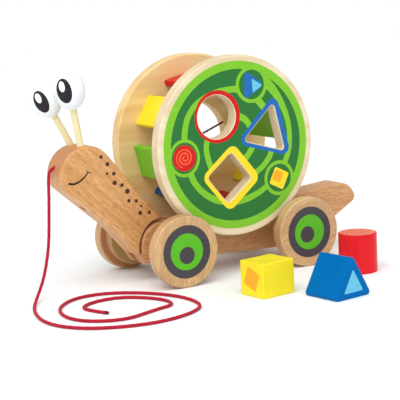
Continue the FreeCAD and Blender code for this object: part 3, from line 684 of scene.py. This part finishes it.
def wheel_print(node, dot):
    """A grey ring, a green disc and an off-centre grey dot on a wheel's outer face."""
    low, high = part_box(node)
    left = node.endswith("left")
    outer = low.y - PRINT_LIFT * MM if left else high.y + PRINT_LIFT * MM
    centre = (low + high) / 2
    right = X_AXIS if left else -X_AXIS
    layers = [
        (circle(*dot, WHEEL_DOT_RADIUS, steps=48), "ink_grey"),
        (circle(0, 0, WHEEL_GREEN_RADIUS), "ink_wheel_green"),
        (circle(0, 0, WHEEL_RING_RADIUS, steps=96), "ink_grey"),
    ]
    body = node.split("_")[0] + "_axle_set"
    printed(node + "_print", layers, Vector((centre.x, outer, centre.z)), right, Z_AXIS, body)


# ---------------------------------------------------------------- head details

# all in millimetres from the floor under the shell; each dot has its radius as well
SMILE = [(-164.9, 104.9), (-161.9, 104.1), (-158.7, 103.9), (-154.4, 105.2), (-150.2, 107.6), (-146.9, 110.4),
         (-144.6, 113.0)]
SMILE_WIDTHS = (2.2, 1.7, 1.2)
SMILE_END = [(-146.4, 115.4), (-144.8, 113.6), (-142.8, 112.7), (-140.6, 112.3)]
SMILE_END_WIDTHS = (0.5, 0.9, 0.5)
DOTS = [
    (-130.2, 126.1, 1.7), (-124.0, 118.7, 2.1), (-124.9, 109.8, 1.4), (-117.9, 109.0, 1.9),
    (-117.6, 100.3, 2.3), (-110.1, 97.2, 1.9), (-104.7, 90.8, 2.5), (-103.6, 81.5, 1.8),
    (-95.9, 80.4, 1.8), (-90.9, 75.0, 1.3), (-92.4, 68.4, 2.1), (-82.6, 67.6, 1.7),
]


def head_art():
    """The burnt smile and the dots on the left side of the head and neck."""
    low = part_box("head_neck")[0]
    origin = Vector((FLOOR.x, low.y - PRINT_LIFT * MM, 0))
    layers = [(band(SMILE_END, SMILE_END_WIDTHS, 5), "burnt"), (band(SMILE, SMILE_WIDTHS, 5), "burnt")]
    for x, z, radius in DOTS:
        layers.append((circle(x, z, radius, steps=24), "burnt_dot"))
    printed("head_art", layers, origin, X_AXIS, Z_AXIS, "head")


STALK_FOOT = {"left": at(-147.5, -10.0, 136.0), "right": at(-147.5, 10.0, 136.0)}
EYE_HALF = (14.5, 14.5, 19.2)
PUPIL_LIFT = 0.05
SHINE_LIFT = 0.10
# turn round the stalk, tilt up it, half height and half width as shares of the eye's, and lean
PUPILS = {"left": (-78.7, 9.0, 0.60, 0.50, 12.0), "right": (-18.1, 0.3, 0.57, 0.45, -8.5)}
SHINES = {"left": (-84.1, 21.9, 0.27, 0.20, 20.0), "right": (-20.1, 13.8, 0.25, 0.19, -3.0)}


def eye_patch(name, side, shape, lift, material):
    """A thin oval cap on an eye, laid over the painted ball."""
    turn, tilt, tall, wide, lean = shape
    centre = middle("eye_" + side)
    up = (centre - STALK_FOOT[side]).normalized()
    across = Z_AXIS.cross(up).normalized()
    ahead = up.cross(across)
    turned, tilted, tipped = math.radians(turn), math.radians(tilt), math.radians(lean)
    flat = math.cos(tilted)
    facing = Vector((math.cos(turned) * flat, math.sin(turned) * flat, math.sin(tilted)))
    north = (Z_AXIS - facing * facing.z).normalized()
    east = north.cross(facing)
    rings, steps = 10, 48
    points = []
    for ring in range(rings + 1):
        for step in range(steps if ring else 1):
            angle = 2 * math.pi * step / steps
            reach_up = tall * ring / rings * math.cos(angle)
            reach_over = wide * ring / rings * math.sin(angle)
            over = reach_over * math.cos(tipped) - reach_up * math.sin(tipped)
            upward = reach_up * math.cos(tipped) + reach_over * math.sin(tipped)
            depth = math.sqrt(max(0.0, 1 - over * over - upward * upward))
            ball = facing * depth + east * over + north * upward
            local = [ball[axis] * (EYE_HALF[axis] + lift) * MM for axis in range(3)]
            points.append(centre + across * local[0] + ahead * local[1] + up * local[2])
    faces = [(0, 1 + step, 1 + (step + 1) % steps) for step in range(steps)]
    for ring in range(1, rings):
        for step in range(steps):
            inner = 1 + (ring - 1) * steps
            outer = 1 + ring * steps
            over = (step + 1) % steps
            faces.append((inner + step, outer + step, outer + over, inner + over))
    mesh = bpy.data.meshes.new(name)
    mesh.from_pydata([tuple(p) for p in points], [], faces)
    mesh.materials.append(material)
    mesh.polygons.foreach_set("use_smooth", [True] * len(faces))
    mesh.update()
    made = add_mesh(mesh)
    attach(made, "head")


def eyes():
    """A black pupil and a white shine on each eye."""
    for side in ("left", "right"):
        eye_patch("pupil_" + side, side, PUPILS[side], PUPIL_LIFT, MATERIALS["ink_black"])
        eye_patch("shine_" + side, side, SHINES[side], SHINE_LIFT, MATERIALS["ink_white"])


# ---------------------------------------------------------------- block prints

SQUARE_BLOCK = (-25.6, -131.0, 16.0)
SQUARE_BLOCK_TURN = math.radians(7.7)
SQUARE_BLOCK_LENGTH = 37.5
PRISM = (18.7, -177.1, 0.0)
PRISM_TURN = math.radians(8.6)
PRISM_LENGTH = 40.4


def level_axes(turn):
    """The level directions along and across a block that is turned on the floor."""
    return Vector((math.cos(turn), math.sin(turn), 0)), Vector((-math.sin(turn), math.cos(turn), 0))


def block_prints():
    """A tilted square on the square block's end, a triangle on the prism's end, rings on the round top."""
    along, aside = level_axes(SQUARE_BLOCK_TURN)
    end = at(*SQUARE_BLOCK) - along * (SQUARE_BLOCK_LENGTH / 2 + PRINT_LIFT) * MM
    layers = [(polygon(4, 17.4, 1.2, 23, 0.0, 0.5), "ink_orange")]
    printed("square_block_print", layers, end, -aside, Z_AXIS, "square_block")
    base, axis = level_axes(PRISM_TURN)
    end = at(*PRISM) - axis * (PRISM_LENGTH / 2 + PRINT_LIFT) * MM
    layers = [(polygon(3, 24.0, 0.8, 90, 0.0, 12.4), "ink_sky")]
    printed("triangle_block_print", layers, end, base, Z_AXIS, "triangle_block")
    centre = middle("block_round")
    top = Vector((centre.x, centre.y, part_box("block_round")[1].z + PRINT_LIFT * MM))
    layers = [(spiral(0, 0, 14.8, 1.4, 3.6, 200, 1.3), "ink_brick"), (circle(0, 0, 17.0), "ink_salmon")]
    printed("round_block_print", layers, top, X_AXIS, Y_AXIS, "round_block")


# ---------------------------------------------------------------- pull cord

CORD_DIAMETER = 3.0
CORD_TIP = 2.0
CORD_STEP = 1.4
RIB_COUNT = 3
RIB_PITCH = 9.0
RIB_HEIGHT = 0.035
RIB_INSET = 0.02
# over the nose, down to the floor and round in an open spiral to the bare end
CORD_ROUTE = [
    (-167.67, 0.0, 117.28), (-170.2, 0.0, 118.9), (-173.4, 0.0, 118.4), (-175.9, 0.0, 115.9),
    (-177.2, 0.0, 112.3),
    (-177.8, 0.0, 105.8), (-178.3, -0.3, 93.5), (-180.0, -0.7, 70.0), (-182.0, -1.4, 49.0),
    (-186.6, -4.0, 31.5), (-194.0, -10.5, 17.0), (-203.5, -19.5, 7.0), (-212.0, -31.0, 2.2),
    (-220.0, -47.0, 1.6), (-227.0, -68.0, 1.6), (-231.5, -94.0, 1.6), (-227.0, -119.5, 1.6),
    (-210.5, -141.5, 1.6), (-186.0, -154.5, 1.6), (-160.0, -160.6, 1.6), (-135.5, -158.0, 1.6),
    (-114.0, -149.5, 1.6), (-98.5, -136.0, 1.6), (-93.5, -113.5, 1.6), (-97.0, -90.0, 1.6),
    (-109.0, -66.0, 1.6), (-127.5, -45.5, 1.6), (-148.0, -34.5, 1.6), (-169.5, -34.0, 1.6),
    (-187.0, -43.5, 1.6), (-202.0, -61.0, 1.6), (-209.0, -82.0, 1.6), (-209.0, -101.5, 1.6),
    (-201.5, -118.0, 1.6), (-185.0, -130.0, 1.6), (-167.0, -133.0, 1.6), (-148.0, -125.5, 1.6),
    (-130.5, -119.5, 1.6), (-117.0, -116.0, 1.6), (-112.5, -104.0, 1.6), (-114.5, -91.0, 1.6),
    (-123.0, -75.0, 1.6), (-139.0, -59.5, 1.6), (-158.0, -57.5, 1.6), (-174.0, -62.5, 1.6),
    (-184.0, -71.5, 1.6), (-183.5, -85.5, 1.6), (-174.5, -104.0, 1.6),
]


def curve_points(name, route):
    """Points along a smooth curve whose control points are the cord's route."""
    data = bpy.data.curves.new(name, "CURVE")
    data.dimensions = "3D"
    line = data.splines.new("NURBS")
    line.points.add(len(route) - 1)
    for point, place in zip(line.points, route):
        point.co = (*at(*place), 1.0)
    line.order_u = 3
    line.use_endpoint_u = True
    line.resolution_u = 12
    holder = bpy.data.objects.new(name, data)
    bpy.context.scene.collection.objects.link(holder)
    bpy.context.view_layer.update()
    mesh = bpy.data.meshes.new_from_object(holder)
    points = [vertex.co.copy() for vertex in mesh.vertices]
    bpy.data.objects.remove(holder)
    bpy.data.curves.remove(data)
    bpy.data.meshes.remove(mesh)
    return points


def evenly(points, gap):
    """The same line with its points spaced evenly, and its length."""
    reach = [0.0]
    for before, after in zip(points, points[1:]):
        reach.append(reach[-1] + (after - before).length)
    count = max(2, round(reach[-1] / gap))
    spaced, index = [], 0
    for step in range(count + 1):
        target = reach[-1] * step / count
        while index < len(reach) - 2 and reach[index + 1] < target:
            index += 1
        span = reach[index + 1] - reach[index]
        share = (target - reach[index]) / span if span > 0 else 0.0
        spaced.append(points[index].lerp(points[index + 1], share))
    return spaced, reach[-1]


def cord_tube(name, points, radius, material, sides=14):
    """A tube with soft twisted ribs; its UV holds the turn and the length along it.

    Both ends are closed, and the last faces carry the melted tip's material.
    """
    vertices, faces, coordinates, reaches = [], [], [], []
    ahead = (points[1] - points[0]).normalized()
    side = ahead.cross(Y_AXIS).normalized()
    travelled = 0.0
    for index, here in enumerate(points):
        step = points[min(index + 1, len(points) - 1)] - points[max(index - 1, 0)]
        direction = step.normalized()
        side = (side - direction * side.dot(direction)).normalized()
        over = direction.cross(side)
        before = travelled
        travelled += (here - points[max(index - 1, 0)]).length
        for corner in range(sides):
            angle = 2 * math.pi * corner / sides
            twist = RIB_COUNT * angle + 2 * math.pi * travelled / (RIB_PITCH * MM)
            rib = 1.0 + RIB_HEIGHT * math.cos(twist) - RIB_INSET
            vertices.append(here + (side * math.cos(angle) + over * math.sin(angle)) * radius * rib)
        if index:
            first = (index - 1) * sides
            for corner in range(sides):
                following = (corner + 1) % sides
                faces.append((first + corner, first + following, first + sides + following,
                              first + sides + corner))
                reaches.append(travelled)
                coordinates += [(corner / sides, before), ((corner + 1) / sides, before),
                                ((corner + 1) / sides, travelled), (corner / sides, travelled)]
    ends = [tuple(range(sides))[::-1], tuple(range(len(vertices) - sides, len(vertices)))]
    for end, length in zip(ends, (0.0, travelled)):
        faces.append(end)
        coordinates += [(0.0, length)] * sides
    mesh = bpy.data.meshes.new(name)
    mesh.from_pydata([tuple(p) for p in vertices], [], faces)
    layer = mesh.uv_layers.new(name="UVMap")
    layer.data.foreach_set("uv", [value for pair in coordinates for value in pair])
    mesh.materials.append(material)
    mesh.materials.append(MATERIALS["cord_tip"])
    melted = [1 if reach > travelled - CORD_TIP * MM else 0 for reach in reaches]
    mesh.polygons.foreach_set("material_index", melted + [0, 1])
    mesh.polygons.foreach_set("use_smooth", [True] * (len(faces) - 2) + [False, False])
    mesh.update()
    return add_mesh(mesh)


def pull_cord():
    """The free cord in one piece, from over the nose down to the floor and round to its bare end; the CAD
    drop and floor pieces are hidden.
    """
    points, length = evenly(curve_points("cord_route", CORD_ROUTE), CORD_STEP * MM)
    made = cord_tube("pull_cord", points, CORD_DIAMETER / 2 * MM, MATERIALS["cord"])
    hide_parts("pull_cord_drop", "pull_cord_floor")
    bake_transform(made)


# ---------------------------------------------------------------- studio

FLOOR_RADIUS = 4.0


def add_floor():
    """A wide, round, pale floor."""
    rim = [(x, y, 0.0) for x, y in circle(0, 0, FLOOR_RADIUS, steps=64)]
    mesh = bpy.data.meshes.new("floor")
    mesh.from_pydata(rim, [], [tuple(range(len(rim)))])
    mesh.materials.append(floor_paper())
    add_mesh(mesh)


KEY_PLACE = at(-900, -900, 1300)
KEY_AIM = at(-20, -40, 60)
KEY_WIDTH = 1.0
KEY_POWER = 5.0
KEY_COLOUR = (1.0, 0.985, 0.96)
SUN_DIRECTION = Vector((0.42, 0.50, -1.0))
SUN_STRENGTH = 1.38
SUN_SPREAD = math.radians(60)
WORLD_LIGHT = 0.72
WORLD_SEEN = 1.0


def add_lamp(name, kind, direction, power):
    """A lamp of that kind that shines in a direction."""
    data = bpy.data.lights.new(name, kind)
    data.energy = power
    lamp = bpy.data.objects.new(name, data)
    bpy.context.scene.collection.objects.link(lamp)
    lamp.rotation_mode = "QUATERNION"
    lamp.rotation_quaternion = direction.to_track_quat("-Z", "Y")
    return lamp


def add_lights():
    """A warm softbox, a very soft sun over the whole floor and a white world."""
    key = add_lamp("key", "AREA", KEY_AIM - KEY_PLACE, KEY_POWER)
    key.location = KEY_PLACE
    key.data.shape = "RECTANGLE"
    key.data.size = KEY_WIDTH
    key.data.size_y = KEY_WIDTH
    key.data.color = KEY_COLOUR
    sun = add_lamp("sun", "SUN", SUN_DIRECTION, SUN_STRENGTH)
    sun.data.angle = SUN_SPREAD
    add_world()
    bpy.context.scene.view_settings.view_transform = "Standard"


def add_world():
    """White all round: plain white to the camera and a little dimmer as light."""
    world = bpy.data.worlds.new("studio")
    bpy.context.scene.world = world
    world.use_nodes = True
    nodes, links = world.node_tree.nodes, world.node_tree.links
    nodes["Background"].inputs["Color"].default_value = (1.0, 1.0, 1.0, 1.0)
    seen = nodes.new("ShaderNodeLightPath")
    strength = nodes.new("ShaderNodeMapRange")
    strength.inputs["To Min"].default_value = WORLD_LIGHT
    strength.inputs["To Max"].default_value = WORLD_SEEN
    links.new(seen.outputs["Is Camera Ray"], strength.inputs["Value"])
    links.new(strength.outputs["Result"], nodes["Background"].inputs["Strength"])


# ---------------------------------------------------------------- build

add_camera()
pull_cord()
dress_cad()
shell_print()
for wheel, dot in WHEEL_DOTS.items():
    wheel_print(wheel, dot)
head_art()
eyes()
block_prints()
add_floor()
add_lights()
